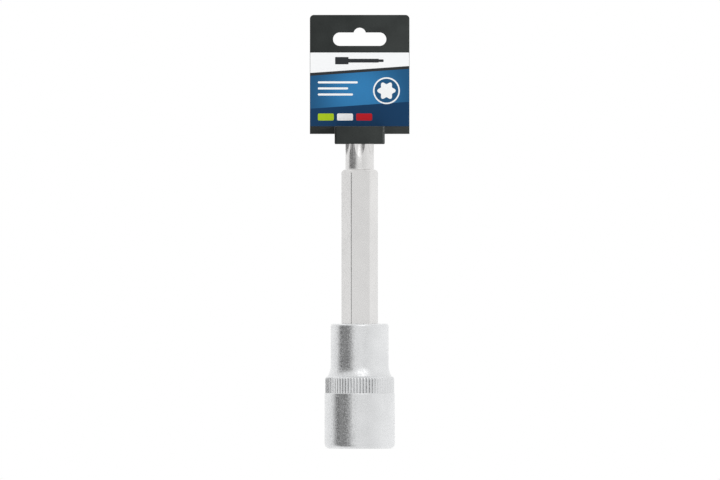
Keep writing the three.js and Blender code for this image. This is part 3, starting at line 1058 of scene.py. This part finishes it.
def makeFloor():
    clearSelection()
    bpy.ops.mesh.primitive_circle_add(vertices=studio["floorSides"], radius=studio["floorRadius"],
                                      fill_type="NGON", location=(0, 0, -studio["floorDrop"]))
    floor = takeName("floor")
    material = bpy.data.materials.new("paleFloor")
    material.use_nodes = True
    tree = material.node_tree
    tree.nodes.clear()
    away = measure(tree, "LENGTH", objectPoint(tree))
    far = fadeIn(tree, away, studio["shadowReach"], studio["shadowEnd"])
    seenDirectly = tree.nodes.new("ShaderNodeLightPath").outputs["Is Camera Ray"]
    pale = addNode(tree, "ShaderNodeBsdfDiffuse", Color=grey(studio["floorPale"]))
    glow = addNode(tree, "ShaderNodeEmission", Color=white, Strength=1.0)
    upper = addNode(tree, "ShaderNodeMixShader", Fac=calc(tree, "MULTIPLY", far, seenDirectly))
    setInput(tree, upper.inputs[1], pale.outputs[0])
    setInput(tree, upper.inputs[2], glow.outputs[0])
    # clear from below
    clear = tree.nodes.new("ShaderNodeBsdfTransparent")
    backs = tree.nodes.new("ShaderNodeNewGeometry").outputs["Backfacing"]
    sheet = addNode(tree, "ShaderNodeMixShader", Fac=backs)
    setInput(tree, sheet.inputs[1], upper.outputs[0])
    setInput(tree, sheet.inputs[2], clear.outputs[0])
    addNode(tree, "ShaderNodeOutputMaterial", Surface=sheet.outputs[0])
    floor.data.materials.append(material)
    floor.visible_glossy = False


def heading(turn, rise):
    turn, rise = math.radians(turn), math.radians(rise)
    return Vector((math.cos(rise) * math.sin(turn), -math.cos(rise) * math.cos(turn), math.sin(rise)))


def makeSurround():
    world = bpy.data.worlds.new("studio")
    scene.world = world
    world.use_nodes = True
    tree = world.node_tree
    tree.nodes.clear()
    direction = tree.nodes.new("ShaderNodeTexCoord").outputs["Generated"]
    part = addNode(tree, "ShaderNodeSeparateXYZ", Vector=direction).outputs
    turn = calc(tree, "ARCTAN2", part["X"], calc(tree, "MULTIPLY", part["Y"], -1.0))
    ramp = addNode(tree, "ShaderNodeValToRGB", Fac=remap(tree, turn, -math.pi, math.pi))
    stops = ramp.color_ramp.elements
    while len(stops) < len(studio["turns"]):
        stops.new(0.5)
    for stop, (degrees, tone) in zip(stops, studio["turns"]):
        stop.position = (degrees + 180) / 360
        stop.color = grey(tone)
    upper = fadeIn(tree, part["Z"], *studio["upperFade"])
    around = mixColours(tree, upper, ramp.outputs[0], grey(studio["upperTone"]))
    lower = fadeIn(tree, part["Z"], *studio["floorFade"])
    around = mixColours(tree, lower, around, grey(studio["floorTone"]))
    for patch in studio["patches"]:
        along = measure(tree, "DOT_PRODUCT", direction, heading(patch["turn"], patch["rise"]))
        rim = math.cos(math.radians(patch["rim"]))
        core = math.cos(math.radians(patch["core"]))
        around = mixColours(tree, fadeIn(tree, along, rim, core), around, grey(patch["tone"]))
    paths = tree.nodes.new("ShaderNodeLightPath").outputs
    mirrored = calc(tree, "MAXIMUM", paths["Is Glossy Ray"], paths["Is Transmission Ray"])
    colour = mixColours(tree, mirrored, grey(studio["fill"]), around)
    colour = mixColours(tree, paths["Is Camera Ray"], colour, white)
    background = addNode(tree, "ShaderNodeBackground", Color=colour, Strength=1.0)
    addNode(tree, "ShaderNodeOutputWorld", Surface=background.outputs[0])


def addLamp(name):
    given = studio[name]
    place = Vector(given["place"])
    clearSelection()
    bpy.ops.object.light_add(type="AREA", location=place)
    lamp = bpy.context.object
    lamp.name = name
    lamp.data.shape = "DISK"
    lamp.data.size = given["size"]
    lamp.data.energy = given["power"]
    lamp.rotation_euler = (Vector(given["aim"]) - place).to_track_quat("-Z", "Y").to_euler()
    return lamp


makeFloor()
makeSurround()
upperLamp = addLamp("upperLamp")
upperLamp.visible_glossy = False  # the metal shows the surround's soft lamp instead
plateLamp = addLamp("plateLamp")
plastics = bpy.data.collections.new("plastics")
for piece in (hangerPlate, tipHolder):
    plastics.objects.link(piece)
plateLamp.light_linking.receiver_collection = plastics  # as if a flag kept it off the metal and the card
print("studio lit")


# camera: straight on to the front, from far off
view = {
    "lens": 800,
    "sensor": 36,
    "pixelsPerMm": 3.195,
    "imageWidth": 720,
    "aimHeight": 65.16 * mm,
    "aside": 0.1 * mm,
    "farthest": 20,
}
clearSelection()
distance = view["lens"] / view["sensor"] * view["imageWidth"] / view["pixelsPerMm"] * mm
bpy.ops.object.camera_add(location=(view["aside"], -distance, view["aimHeight"]),
                          rotation=(math.pi / 2, 0, 0))
camera = bpy.context.object
camera.name = "frontCamera"
camera.data.lens = view["lens"]
camera.data.sensor_width = view["sensor"]
camera.data.clip_end = view["farthest"]
scene.camera = camera

scene.view_settings.view_transform = "Standard"
print("scene ready")
